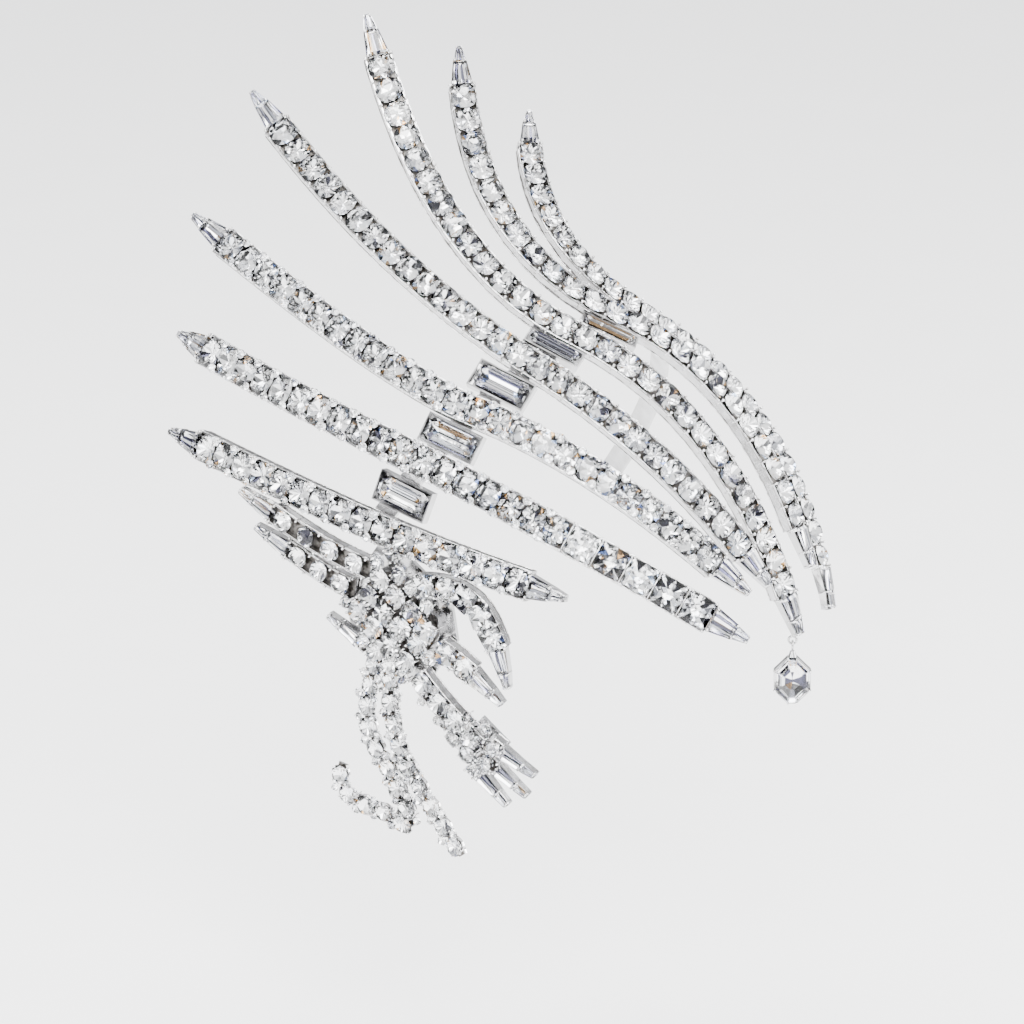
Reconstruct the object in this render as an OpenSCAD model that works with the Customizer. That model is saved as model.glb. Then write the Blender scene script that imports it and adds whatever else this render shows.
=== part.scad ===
// Stone-set headpiece: seven long spines on a band over the head, a spray over the right ear and a drop.
// Lengths are millimetres. The wearer faces -Y with +X at the left hand. Tables give places from the
// middle of the head, and every part is then moved so that the band's seat on the crown is the origin.

/* [Band] */
// Half width of the band's ellipse, from ear to ear
band_half_width = 82; // [80:1:86]
// Half height of the band's ellipse
band_half_height = 97; // [96:0.5:100]
// Width of the band along the head
band_width = 9; // [6:0.5:12]
// Thickness of the band
band_thick = 2; // [1.2:0.2:2.4]
// Forward lean of the band from upright, in degrees
band_lean = 33.5; // [30:0.5:36]

/* [Spines] */
// Height of the channel that holds a row of stones
channel_high = 4.5; // [3.6:0.1:4.6]
// Thickness of the channel's floor
channel_floor = 1; // [0.8:0.1:1.4]
// Thickness of the channel's raised edges
channel_edge = 0.8; // [0.6:0.1:1]
// Height of the stones' rims above the channel's edges
rim_lift = 0.8; // [0.6:0.1:1]
// Gap between neighbouring stones of a row
stone_gap = 0.4; // [0.3:0.05:0.6]

/* [Tips] */
// Length of the tapered stone at the end of a row
taper_long = 10.5; // [9:0.5:12]
// Length of the small pointed stone beyond it
point_long = 6.5; // [5:0.5:7]

/* [Drop] */
// Height of the hanging stone
drop_high = 17.5; // [14:0.5:20]
// Width of the hanging stone
drop_wide = 13; // [12:0.5:16]
// Radius of the wire of the drop's ring and eye
wire_radius = 0.45; // [0.4:0.05:0.5]

/* [Hidden] */
band_middle = [0, 8.2, 13.3];
band_start = 3;
band_end = 192;
band_steps = 48;
rest_gap = 0.3;
facing_from = [30, 40, 0];
arm_steps = 20;
rail_steps = 22;
end_long = taper_long + point_long;
step_long = 0.3;
tip_deep = 2.6;
tip_deepens = 0.8;
small = 0.2;
pointed = 0.2;
taper_wide = 0.84;
taper_narrow = 0.54;
point_wide = 0.44;
tip_lift = 0.5;
arm_gap = 0.9;
row_clear = 0.6;

// Spines: angle around the band, heading in degrees, front tip, front pull, rear tip, rear pull, width,
// stones, width of the front tip as a share of the row's
spines = [
    [8, 24, [-78, -93, 12], 40, [-78, 112, 39], 50, 12, 16, 0.2],
    [28, 20, [-23, -141, -9], 68, [-72, 112, 78], 77, 13, 24, 0.2],
    [45, 24, [-10, -131, 5], 61, [-72, 105, 129], 37, 12, 25, 0.2],
    [64, 16, [5, -129, 4], 69, [-53, 90, 179], 71, 11.5, 27, 0.2],
    [79, 27, [30, -124, -24], 72, [-27, 52, 212], 65, 11.4, 28, 0.2],
    [96, 44, [56.2, -109, -5.5], 64, [6, 32, 195], 70, 10.5, 23, 0.2],
    [108, 49, [68.9, -108.5, -26.4], 85, [29, 15, 166], 63, 10, 23, 0.5]
];
around = 0;
heading = 1;
front_tip = 2;
front_pull = 3;
rear_tip = 4;
rear_pull = 5;
row_width = 6;
row_count = 7;
front_share = 8;

// Rectangular stones: angle around the band, heading, length, width, and how far ahead of the middle
baguettes = [
    [18, 20, 24, 11.6, 3.7],
    [36.3, 20, 24, 11, 2.3],
    [54.6, 20, 24, 11, 0],
    [72, 22, 23, 6.4, 0],
    [88, 34, 23, 6, 5],
    [120, 46, 23, 11, 0]
];
baguette_long = 2;
baguette_wide = 3;
baguette_ahead = 4;
tray_wall = 0.6;
tray_high = 4;
tray_floor = 0.8;
tray_lift = 0.3;
baguette_lift = tray_lift + tray_high + 0.2;
baguette_cut = 1.8;
baguette_deep = 3;
baguette_high = 2;

// The ear spray lies in a frame of its own: x forward and down along the head, y forward and up, z outward
spray_middle = [-86, -12, -12];
spray_splay = 6;
spray_dip = 35;
spray_facing = [0, 0, -300];
plate_long = 50;
plate_wide = 46;
plate_cut = 12;
flange_low = -6.4;
flange_high = -4.8;
boss_high = -2.1;
boss_cut = 5;
tab_ends = [-25.5, -18];
tab_sides = [8, 31];
tab_levels = [flange_low - 1.2, flange_low + 0.3];
palm_ends = [-8, 7];
palm_sides = [-12.5, 8.5];
palm_levels = [-6.3, -4.9];

// Arms of the spray: name, guide points from root to tip in the spray's frame, width, round stones
arms = [
    ["back_spike_1", [[-21.5, 8, 0.2], [-48, -3.3, 1], [-84, -9, 0]], 9, 4],
    ["back_spike_2", [[-22, -4.2, 0.2], [-32, -9.2, 0.5], [-70, -16, 0]], 9, 3],
    ["side_spike", [[-3, -19, 0.3], [-12, -19.5, 0.8], [-23.5, -20.2, 1]], 7, 0],
    ["claw_1", [[0, 20, 0.2], [12, 33.5, 3], [34, 35, 2], [54, 13.7, -3]], 9.5, 5],
    ["claw_2", [[22, 6, 0.3], [36, 8.5, 0], [55.8, 5.8, -4]], 9.5, 2],
    ["claw_3", [[20.5, -10.8, 0.3], [31, -14, 0], [58, -17.8, -5]], 10, 4]
];
arm_name = 0;
arm_guide = 1;
arm_width = 2;
arm_count = 3;
spike_arms = [0, 1, 2];
claw_arms = [3, 4, 5];
palm_arm = 5;

// Toes spread from the end of the third claw, in the frame there
toes = [
    ["toe_1", [[1.5, 5.5, 0], [12, 7, 0], [23.5, 10, -1]], 6.8, 1],
    ["toe_2", [[1.5, -1.8, 0], [14, -1, 0], [27, 0, -1]], 6.8, 1],
    ["toe_3", [[1.5, -9.1, 0], [12, -9.4, 0], [24, -10.5, -1]], 6.8, 1]
];

// Tails: name, guide points from root to end in the spray's frame, width
tails = [
    ["tail_1", [[2, -20, -3.3], [8, -41, -3], [23, -52, -3], [40.6, -57.3, -3],
                [57, -66.3, -3], [39.4, -71, -2], [21.2, -80.5, -2], [16, -69, -2]], 8],
    ["tail_2", [[10, -20, -3.3], [22, -39, -3.5], [43, -51, -5], [77, -63, -8]], 8]
];
tail_pitch = 8.5;
tail_low = -1.2;
tail_side = 0.6;
tail_high = 2.4;
tail_narrow = 0.72;

// Cluster over the ear: rows of stones, their pitch and their two heights
cluster_rows = 4;
cluster_columns = 3;
cluster_pitch = 9.4;
cluster_lift = [1.4, 1.9];
cluster_gap = 0.5;

drop_ring_radius = 1.6;
eye_middle = [29.9, -120.8, -26.7];
drop_turn = -50;
ring_drop = drop_ring_radius * 2 - wire_radius * 2 - 0.15;
hang_gap = 0.3;
cap_high = 2.4;
cap_wide = 1.8;
cap_narrow = 0.9;
drop_rim = 0.9;
drop_thick = 6;
drop_deep = 2;
drop_stone_lift = 0.8;
drop_back = -2.4;
drop_floor = 0.8;
drop_wall = 3;
drop_lip = 0.1;
drop_cut = 0.38;
cap_drop = ring_drop + drop_ring_radius + wire_radius + hang_gap + cap_high;
drop_centre = cap_drop + hang_gap + drop_rim + drop_high / 2;

function unit(v) = v / norm(v);

function turned(v, axis, angle) =
    v * cos(angle) + cross(axis, v) * sin(angle) + axis * (axis * v) * (1 - cos(angle));

function backwards(list) = [for (i = [len(list) - 1:-1:0]) list[i]];

function without_first(list) = [for (i = [1:len(list) - 1]) list[i]];

// The way that faces away from a place, square to a line's run
function outward_at(p, forward, from) = let (away = p - from) unit(away - forward * (away * forward));

// The band's frame at an angle: a point on its ellipse, the way out, and the way forward across it
function band_up() = [0, -sin(band_lean), cos(band_lean)];
function band_forward() = [0, -cos(band_lean), -sin(band_lean)];
function band_out(angle) =
    unit([-cos(angle) / band_half_width, 0, 0] + band_up() * sin(angle) / band_half_height);
function band_spot(angle, lift) =
    band_middle + [-band_half_width * cos(angle), 0, 0] + band_up() * band_half_height * sin(angle)
    + band_out(angle) * lift;
function band_heading(angle, turn) = turned(band_forward(), band_out(angle), turn);

// One bend from a to c that leaves a towards b
function bend(a, b, c) =
    [for (i = [0:arm_steps])
        let (t = i / arm_steps)
        (1 - t) * (1 - t) * a + 2 * t * (1 - t) * b + t * t * c];

// A smooth line along guide points, from the first to the last
function guided(points) =
    let (last = len(points) - 1)
    [for (i = [1:last - 1])
        let (
            a = i == 1 ? points[0] : (points[i - 1] + points[i]) / 2,
            c = i == last - 1 ? points[last] : (points[i] + points[i + 1]) / 2,
            piece = bend(a, points[i], c)
        )
        each (i == 1 ? piece : without_first(piece))];

// A spine's middle stands just clear of the band, however far its channel tilts
function spine_lift(row) =
    let (
        forward = band_heading(row[around], row[heading]),
        outward = outward_at(band_spot(row[around], channel_high), forward, facing_from),
        up = band_out(row[around])
    )
    rest_gap + channel_high * (outward * up) + row[row_width] / 2 * abs(cross(outward, forward) * up);

function spine_line(row) =
    let (
        middle = band_spot(row[around], spine_lift(row)),
        forward = band_heading(row[around], row[heading]),
        rear = bend(middle, middle - forward * row[rear_pull], row[rear_tip]),
        front = bend(middle, middle + forward * row[front_pull], row[front_tip])
    )
    concat(backwards(rear), without_first(front));

// Distances along a line, a point at one of them, and the frame there: point, forward, side, outward
function distances(line) =
    [for (i = 0, s = 0;
          i < len(line);
          s = s + (i + 1 < len(line) ? norm(line[i + 1] - line[i]) : 0), i = i + 1) s];
function last_of(list) = list[len(list) - 1];
function point_at(line, run, d) =
    let (
        k = max(0, min(len(line) - 2, len([for (r = run) if (r <= d) 1]) - 1)),
        part = (d - run[k]) / (run[k + 1] - run[k])
    )
    line[k] + (line[k + 1] - line[k]) * part;
function frame_at(line, run, d, from = facing_from) =
    let (
        p = point_at(line, run, d),
        forward = unit(point_at(line, run, d + 1) - point_at(line, run, d - 1)),
        outward = outward_at(p, forward, from)
    )
    [p, forward, cross(outward, forward), outward];
function in_frame(f, x, y, z) = f[0] + f[1] * x + f[2] * y + f[3] * z;
function frame_matrix(f) = [
    [f[1][0], f[2][0], f[3][0], f[0][0]],
    [f[1][1], f[2][1], f[3][1], f[0][1]],
    [f[1][2], f[2][2], f[3][2], f[0][2]],
    [0, 0, 0, 1]
];

// Half width and depth of a channel at a distance d from a pointed end
function half_width(d, wide, share) =
    d < point_long ? wide / 2 * share + small + wide * (0.2 - share / 2) * min(1, d / point_long)
    : d <= end_long ? wide * 0.24 + wide * 0.16 * (d - point_long) / taper_long
    : wide / 2;
function depth(d) = d <= end_long ? tip_deep + tip_deepens * d / end_long : channel_high;

// The crown of the head, under the middle of the band, becomes the origin
crown = band_middle + band_up() * (band_half_height - band_thick);
module seated() {
    translate(-crown) children();
}

module silver() {
    color([0.82, 0.83, 0.85]) children();
}

module crystal() {
    color([0.93, 0.95, 0.98]) children();
}

// A closed body through rings of points, with the first ring's cap given as triangles
module swept(rings, cap) {
    n = len(rings[0]);
    last = len(rings) - 1;
    sides = [for (k = [0:last - 1], j = [0:n - 1])
        let (a = k * n + j, b = k * n + (j + 1) % n)
        each [[a, a + n, b], [b, a + n, b + n]]];
    far_cap = [for (f = cap) [for (v = backwards(f)) last * n + v]];
    polyhedron(points = [for (r = rings, p = r) p], faces = concat(sides, cap, far_cap));
}

// A channel with raised edges along a line, at distances from its start, half widths and depths
channel_cap = [[1, 2, 3], [1, 3, 4], [0, 1, 4], [0, 4, 5], [0, 5, 6], [0, 6, 7]];
function channel_ring(f, half, deep) = [
    in_frame(f, 0, -half, -deep),
    in_frame(f, 0, half, -deep),
    in_frame(f, 0, half, 0),
    in_frame(f, 0, half - channel_edge, 0),
    in_frame(f, 0, half - channel_edge, channel_floor - deep),
    in_frame(f, 0, channel_edge - half, channel_floor - deep),
    in_frame(f, 0, channel_edge - half, 0),
    in_frame(f, 0, -half, 0)
];

module channel(line, wide, tips, share = pointed, from = facing_from) {
    run = distances(line);
    total = last_of(run);
    body_from = tips == 2 ? end_long + step_long : 0;
    body_to = tips == 0 ? total : total - end_long - step_long;
    near = [0, point_long, end_long];
    stations = concat(
        tips == 2 ? near : [],
        [for (i = [0:rail_steps]) body_from + (body_to - body_from) * i / rail_steps],
        tips == 0 ? [] : backwards([for (d = near) total - d])
    );
    swept(
        [for (d = stations)
            let (
                from_end = tips == 0 ? total : tips == 1 ? total - d : min(d, total - d),
                tip_share = d < total / 2 ? pointed : share
            )
            channel_ring(
                frame_at(line, run, d, from),
                half_width(from_end, wide, tip_share),
                depth(from_end)
            )],
        channel_cap
    );
}

// A round stone of eight sides with a table, with its rim at z = 0
module round_stone(long, wide) {
    rim = [for (k = [0:7]) [long / 2 * cos(22.5 + 45 * k), wide / 2 * sin(22.5 + 45 * k)] / cos(22.5)];
    table_share = 0.56;
    table_high = 1.9;
    deep = 3.2;
    points = concat(
        [for (p = rim) [p[0] * table_share, p[1] * table_share, table_high]],
        [for (p = rim) [p[0], p[1], 0]],
        [[0, 0, -deep]]
    );
    faces = concat(
        [[7, 6, 5, 4, 3, 2, 1, 0]],
        [for (k = [0:7]) let (j = (k + 1) % 8) [k, j, 8 + j, 8 + k]],
        [for (k = [0:7]) let (j = (k + 1) % 8) [8 + k, 8 + j, 16]]
    );
    polyhedron(points = points, faces = faces);
}

// A tapered stone from x = 0 to long, wide_a to wide_b
module taper_stone(long, wide_a, wide_b) {
    rim = [[0, -wide_a / 2], [long, -wide_b / 2], [long, wide_b / 2], [0, wide_a / 2]];
    middle = [long * 0.45, 0];
    table_share = 0.55;
    points = concat(
        [for (p = rim) let (q = middle + (p - middle) * table_share) [q[0], q[1], 1.5]],
        [for (p = rim) [p[0], p[1], 0]],
        [[long * 0.22, 0, -1.5], [long * 0.78, 0, -1.5]]
    );
    faces = [
        [3, 2, 1, 0],
        [0, 1, 5, 4], [1, 2, 6, 5], [2, 3, 7, 6], [3, 0, 4, 7],
        [4, 5, 8], [5, 9, 8], [5, 6, 9], [6, 7, 9], [7, 8, 9], [7, 4, 8]
    ];
    polyhedron(points = points, faces = faces);
}

// A step-cut stone: outline of a rectangle with cut corners, taken through four levels
function cut_rectangle(long, wide, cut) =
    let (x = long / 2, y = wide / 2)
    [[x, -y + cut], [x, y - cut], [x - cut, y], [-x + cut, y],
     [-x, y - cut], [-x, -y + cut], [-x + cut, -y], [x - cut, -y]];

module step_stone(long, wide, cut, deep, high) {
    levels = [[-deep, 0.36], [0, 0], [high * 0.6, 0.09], [high, 0.2]];
    rings = [for (v = levels)
        let (
            inset = v[1] * min(long, wide),
            outline = cut_rectangle(long - 2 * inset, wide - 2 * inset, cut * (1 - 1.6 * v[1]))
        )
        [for (p = outline) [p[0], p[1], v[0]]]];
    n = 8;
    last = len(rings) - 1;
    faces = concat(
        [[for (k = [0:n - 1]) k]],
        [for (r = [0:last - 1], k = [0:n - 1])
            let (a = r * n + k, b = r * n + (k + 1) % n) [a, a + n, b + n, b]],
        [[for (k = [n - 1:-1:0]) last * n + k]]
    );
    polyhedron(points = [for (r = rings, p = r) p], faces = faces);
}

module cross_band() {
    silver() seated() translate(band_middle) rotate([90 + band_lean, 0, 0])
        linear_extrude(band_width, center = true)
            polygon(concat(
                [for (i = [0:band_steps])
                    let (v = band_start + (band_end - band_start) * i / band_steps)
                    [-band_half_width * cos(v), band_half_height * sin(v)]],
                [for (i = [band_steps:-1:0])
                    let (v = band_start + (band_end - band_start) * i / band_steps)
                    [-(band_half_width - band_thick) * cos(v), (band_half_height - band_thick) * sin(v)]]
            ));
}

module spine_rail(row) {
    silver() seated() channel(spine_line(row), row[row_width], 2, row[front_share]);
}

function row_pitch(total, count) = (total - 2 * end_long) / count;

module spine_stones(row) {
    line = spine_line(row);
    run = distances(line);
    pitch = row_pitch(last_of(run), row[row_count]);
    crystal() seated()
        for (i = [0:row[row_count] - 1])
            multmatrix(frame_matrix(frame_at(line, run, end_long + pitch * (i + 0.5))))
                translate([0, 0, rim_lift]) round_stone(pitch - stone_gap, row[row_width] - row_clear);
}

// The tapered and the pointed stone at an end, from a frame that looks towards the tip
module end_stones(line, tip, toward, wide, share = pointed, from = facing_from) {
    run = distances(line);
    tapered = [end_long - small, taper_long - 2 * small, wide * taper_wide, wide * taper_narrow];
    sharp = [point_long - small, point_long - 2 * small, wide * max(share, point_wide), wide * share];
    for (part = [tapered, sharp]) {
        f = frame_at(line, run, tip - toward * (part[0] - part[1] / 2), from);
        multmatrix(frame_matrix([f[0], f[1] * toward, f[2] * toward, f[3]]))
            translate([-part[1] / 2, 0, rim_lift + tip_lift]) taper_stone(part[1], part[2], part[3]);
    }
}

module spine_tips(row) {
    line = spine_line(row);
    crystal() seated() {
        end_stones(line, 0, -1, row[row_width]);
        end_stones(line, last_of(distances(line)), 1, row[row_width], row[front_share]);
    }
}

function baguette_frame(row, lift) =
    let (out = band_out(row[around]), forward = band_heading(row[around], row[heading]))
    [band_spot(row[around], lift) + forward * row[baguette_ahead], forward, cross(out, forward), out];

module baguette(row) {
    crystal() seated()
        multmatrix(frame_matrix(baguette_frame(row, baguette_lift)))
            step_stone(row[baguette_long], row[baguette_wide], baguette_cut, baguette_deep, baguette_high);
}

module tray_block(row, grow, levels) {
    x = row[baguette_long] / 2 + grow;
    y = row[baguette_wide] / 2 + grow;
    slab([-x, x], [-y, y], levels);
}

module baguette_settings() {
    silver() seated()
        for (row = baguettes)
            multmatrix(frame_matrix(baguette_frame(row, tray_lift)))
                difference() {
                    tray_block(row, tray_wall, [0, tray_high]);
                    tray_block(row, 0, [tray_floor, tray_high + 1]);
                }
}

module in_spray() {
    away = [-cos(spray_splay), -sin(spray_splay), 0];
    level = [sin(spray_splay), -cos(spray_splay), 0];
    first = level * cos(spray_dip) - [0, 0, sin(spray_dip)];
    seated() multmatrix(frame_matrix([spray_middle, first, cross(away, first), away])) children();
}

// The frame at the end of the third claw, where the toes start
module in_palm() {
    line = guided(arms[palm_arm][arm_guide]);
    run = distances(line);
    in_spray() multmatrix(frame_matrix(frame_at(line, run, last_of(run), spray_facing))) children();
}

module slab(ends, sides, levels) {
    translate([ends[0], sides[0], levels[0]])
        cube([ends[1] - ends[0], sides[1] - sides[0], levels[1] - levels[0]]);
}

// The plate under the roots of the arms, a raised boss under the cluster, and a tab behind the lowest spine
module ear_plate() {
    silver() in_spray() union() {
        translate([0, 0, flange_low]) linear_extrude(flange_high - flange_low)
            polygon(cut_rectangle(plate_long, plate_wide, plate_cut));
        translate([0, 0, flange_low]) linear_extrude(boss_high - flange_low)
            polygon(cut_rectangle(cluster_rows * cluster_pitch, cluster_columns * cluster_pitch, boss_cut));
        slab(tab_ends, tab_sides, tab_levels);
    }
}

module ear_cluster() {
    crystal() in_spray()
        for (i = [0:cluster_rows - 1], j = [0:cluster_columns - 1])
            translate([
                (i - (cluster_rows - 1) / 2) * cluster_pitch,
                (j - (cluster_columns - 1) / 2) * cluster_pitch,
                cluster_lift[(i + j) % 2]
            ])
                round_stone(cluster_pitch - cluster_gap, cluster_pitch - cluster_gap);
}

module arm_rail(row, tips) {
    channel(guided(row[arm_guide]), row[arm_width], tips, pointed, spray_facing);
}

module spray_arm(i) {
    silver() in_spray() arm_rail(arms[i], i == palm_arm ? 0 : 1);
}

module toe(row) {
    silver() in_palm() arm_rail(row, 1);
}

module arm_stones(row, tips) {
    line = guided(row[arm_guide]);
    run = distances(line);
    total = last_of(run);
    pitch = row[arm_count] == 0 ? 1 : (total - tips * end_long) / row[arm_count];
    if (row[arm_count] > 0)
        for (i = [0:row[arm_count] - 1])
            multmatrix(frame_matrix(frame_at(line, run, pitch * (i + 0.5), spray_facing)))
                translate([0, 0, rim_lift]) round_stone(pitch - arm_gap, row[arm_width] - row_clear);
    if (tips == 1) end_stones(line, total, 1, row[arm_width], pointed, spray_facing);
}

module claw_palm() {
    silver() in_palm() slab(palm_ends, palm_sides, palm_levels);
}

module spike_stones() {
    crystal() in_spray() for (i = spike_arms) arm_stones(arms[i], 1);
}

module claw_stones() {
    crystal() {
        in_spray() for (i = claw_arms) arm_stones(arms[i], i == palm_arm ? 0 : 1);
        in_palm() for (t = toes) arm_stones(t, 1);
    }
}

// A tail is a solid strip that swells at each of its small stones
function tail_ring(f, half) = [
    in_frame(f, 0, -half, tail_low),
    in_frame(f, 0, half, tail_low),
    in_frame(f, 0, half, tail_side),
    in_frame(f, 0, half / 2, tail_high),
    in_frame(f, 0, -half / 2, tail_high),
    in_frame(f, 0, -half, tail_side)
];
tail_cap = [[0, 1, 2], [0, 2, 5], [5, 2, 3], [5, 3, 4]];

module tail(row) {
    line = guided(row[arm_guide]);
    run = distances(line);
    total = last_of(run);
    steps = 2 * floor(total / tail_pitch);
    silver() in_spray() swept(
        [for (k = [0:steps])
            tail_ring(
                frame_at(line, run, total * k / steps, spray_facing),
                row[arm_width] / 2 * (k % 2 == 0 ? tail_narrow : 1)
            )],
        tail_cap
    );
}

// The drop hangs under the fifth spine's front tip and faces the wearer's right front
module at_eye(lower) {
    translate(eye_middle - [0, 0, lower]) rotate([0, 0, drop_turn]) children();
}

module wire_ring() {
    rotate_extrude($fn = 48) translate([drop_ring_radius, 0]) circle(wire_radius, $fn = 24);
}

module drop_eye() {
    silver() seated() at_eye(0) rotate([90, 0, 0]) wire_ring();
}

module drop_ring() {
    silver() seated() at_eye(ring_drop) rotate([0, 90, 0]) wire_ring();
}

module drop_cap() {
    silver() seated() at_eye(cap_drop)
        cylinder(h = cap_high, r1 = cap_wide, r2 = cap_narrow, $fn = 32);
}

function drop_outline(grow) =
    cut_rectangle(drop_wide + 2 * grow, drop_high + 2 * grow, drop_wide * drop_cut + grow * 0.6);

module drop_setting() {
    silver() seated() at_eye(drop_centre) rotate([90, 0, 0])
        difference() {
            translate([0, 0, drop_back]) linear_extrude(drop_wall) polygon(drop_outline(drop_rim));
            translate([0, 0, drop_back + drop_floor]) linear_extrude(drop_wall)
                polygon(drop_outline(-drop_lip));
        }
}

module drop_stone() {
    crystal() seated() at_eye(drop_centre) rotate([90, 0, 0]) translate([0, 0, drop_stone_lift])
        step_stone(drop_wide, drop_high, drop_wide * drop_cut, drop_deep, drop_thick / 2);
}

cross_band();
for (i = [0:6]) {
    spine_rail(spines[i]);
    spine_stones(spines[i]);
    spine_tips(spines[i]);
}
for (i = [0:5])
    baguette(baguettes[i]);
baguette_settings();
ear_plate();
ear_cluster();
for (i = [0:5])
    spray_arm(i);
for (t = toes)
    toe(t);
claw_palm();
spike_stones();
claw_stones();
for (t = tails)
    tail(t);
drop_eye();
drop_ring();
drop_cap();
drop_setting();
drop_stone();
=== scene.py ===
# Stone-set headpiece: spines of brilliants over a band, a claw spray over the ear and a drop.
# Places are in millimetres from the middle of the hollow, as in the solid model.
import bpy
import random
from math import sin, cos, radians, pi
from mathutils import Vector, Matrix


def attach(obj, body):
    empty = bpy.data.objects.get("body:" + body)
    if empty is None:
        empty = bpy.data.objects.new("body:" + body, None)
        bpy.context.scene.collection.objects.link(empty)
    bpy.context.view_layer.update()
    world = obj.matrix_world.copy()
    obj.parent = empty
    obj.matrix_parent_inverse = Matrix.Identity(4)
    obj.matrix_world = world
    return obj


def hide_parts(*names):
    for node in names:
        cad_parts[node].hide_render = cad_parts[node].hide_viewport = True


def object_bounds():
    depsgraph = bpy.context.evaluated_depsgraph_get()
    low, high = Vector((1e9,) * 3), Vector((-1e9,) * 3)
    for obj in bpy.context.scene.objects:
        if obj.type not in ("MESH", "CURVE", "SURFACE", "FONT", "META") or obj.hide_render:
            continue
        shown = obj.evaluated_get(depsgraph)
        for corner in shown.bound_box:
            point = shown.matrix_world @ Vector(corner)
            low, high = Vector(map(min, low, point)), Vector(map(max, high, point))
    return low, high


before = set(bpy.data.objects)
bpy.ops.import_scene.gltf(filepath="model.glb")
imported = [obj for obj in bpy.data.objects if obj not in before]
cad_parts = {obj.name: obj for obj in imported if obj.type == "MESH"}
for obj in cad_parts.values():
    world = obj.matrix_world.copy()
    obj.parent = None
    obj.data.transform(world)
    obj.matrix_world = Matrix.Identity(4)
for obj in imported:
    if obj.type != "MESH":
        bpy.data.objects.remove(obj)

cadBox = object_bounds()
mm = 0.001
dice = random.Random(12)  # one seed, so that every run draws the same stones
print("frame loaded")

# where things lie

headBand = {
    "middle": Vector((0, 8.2, 13.3)),
    "halfWidth": 82, "halfHeight": 97, "thick": 2,
    "lean": 33.5,  # degrees forward from upright
    "restGap": 0.3,  # between the band and a spine
}
facingFrom = Vector((30, 40, 0))  # rows face away from here
channel = {
    "high": 4.5, "floor": 1, "edge": 0.8,  # its walls, and how thick floor and walls are
    "rimLift": 0.8, "tipLift": 0.5,  # stones' rims over the walls, and what tips have more
}
tips = {"taper": 10.5, "point": 6.5, "pointed": 0.2}  # lengths, and the share of width left at a point
endLong = tips["taper"] + tips["point"]
bandUp = Vector((0, -sin(radians(headBand["lean"])), cos(radians(headBand["lean"]))))
bandForward = Vector((0, -cos(radians(headBand["lean"])), -sin(radians(headBand["lean"]))))
crown = headBand["middle"] + bandUp * (headBand["halfHeight"] - headBand["thick"])
curveSteps = 20  # pieces of each bend


def bandOut(angle):  # angle 0 is over the wearer's right ear and 90 at the crown
    a = radians(angle)
    across = Vector((-cos(a) / headBand["halfWidth"], 0, 0))
    return (across + bandUp * (sin(a) / headBand["halfHeight"])).normalized()


def bandSpot(angle, lift):
    a = radians(angle)
    across = Vector((-headBand["halfWidth"] * cos(a), 0, 0))
    up = bandUp * (headBand["halfHeight"] * sin(a))
    return headBand["middle"] + across + up + bandOut(angle) * lift


def bandHeading(angle, turn):
    return Matrix.Rotation(radians(turn), 3, bandOut(angle)) @ bandForward


def outwardAt(p, forward, away):
    out = p - away
    return (out - forward * out.dot(forward)).normalized()


def bend(a, b, c):  # from a to c, drawn toward b
    shares = [i / curveSteps for i in range(curveSteps + 1)]
    return [a * (1 - t) ** 2 + b * (2 * t * (1 - t)) + c * t * t for t in shares]


def guided(points):  # from the first point to the last, drawn toward those between
    points = [Vector(p) for p in points]
    last = len(points) - 1
    line = []
    for i in range(1, last):
        a = points[0] if i == 1 else (points[i - 1] + points[i]) / 2
        c = points[last] if i == last - 1 else (points[i] + points[i + 1]) / 2
        line += bend(a, points[i], c)[0 if i == 1 else 1:]
    return line


def axes(p, forward, out):
    side = out.cross(forward)
    return Matrix(((forward.x, side.x, out.x, p.x), (forward.y, side.y, out.y, p.y),
                   (forward.z, side.z, out.z, p.z), (0, 0, 0, 1)))


class Strip:  # a line with its distances, and the place that it faces away from
    def __init__(self, line, away, base=None):
        self.line, self.away, self.base = line, away, base or Matrix.Identity(4)
        self.run = [0]
        for a, b in zip(line, line[1:]):
            self.run.append(self.run[-1] + (b - a).length)
        self.total = self.run[-1]

    def spot(self, d):
        k = 0
        while k < len(self.line) - 2 and self.run[k + 1] <= d:
            k += 1
        part = (d - self.run[k]) / (self.run[k + 1] - self.run[k])
        return self.line[k] + (self.line[k + 1] - self.line[k]) * part

    def place(self, d, flip=1):  # x runs along the strip, y across it and z outward
        p = self.spot(d)
        forward = (self.spot(d + 1) - self.spot(d - 1)).normalized()
        out = outwardAt(p, forward, self.away)
        return self.base @ axes(p, forward * flip, out)


# finishes

metals = {
    "brightSilver": {"bright": (0.93, 0.93, 0.94, 1), "dull": (0.42, 0.41, 0.4, 1),
                     "rough": (0.08, 0.24), "scale": 420, "soft": 0.08},
    "railSilver": {"bright": (0.6, 0.6, 0.61, 1), "dull": (0.4, 0.395, 0.39, 1),
                   "rough": (0.12, 0.26), "scale": 160, "soft": 0.2},
    # painted shade: a dark silver for the lines, sheets and lids that stand in for shade along walls and
    # between stones
    "paintedShadeSilver": {"bright": (0.2, 0.19, 0.18, 1), "dull": (0.05, 0.045, 0.04, 1),
                       "rough": (0.35, 0.5), "scale": 420, "soft": 0.08},
}
grain = {
    "detail": 3, "from": 0.3, "to": 0.7,  # stretch of the noise that is spread over the roughness
    "middle": 0.48,  # noise where dull turns to bright
    "bump": 0.12, "bumpDeep": 0.0002,
}
crystalLook = {"index": 1.45, "rough": (0.0, 0.012), "scale": 900}
foilLook = {"rough": (0.02, 0.14), "scale": 700}
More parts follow.
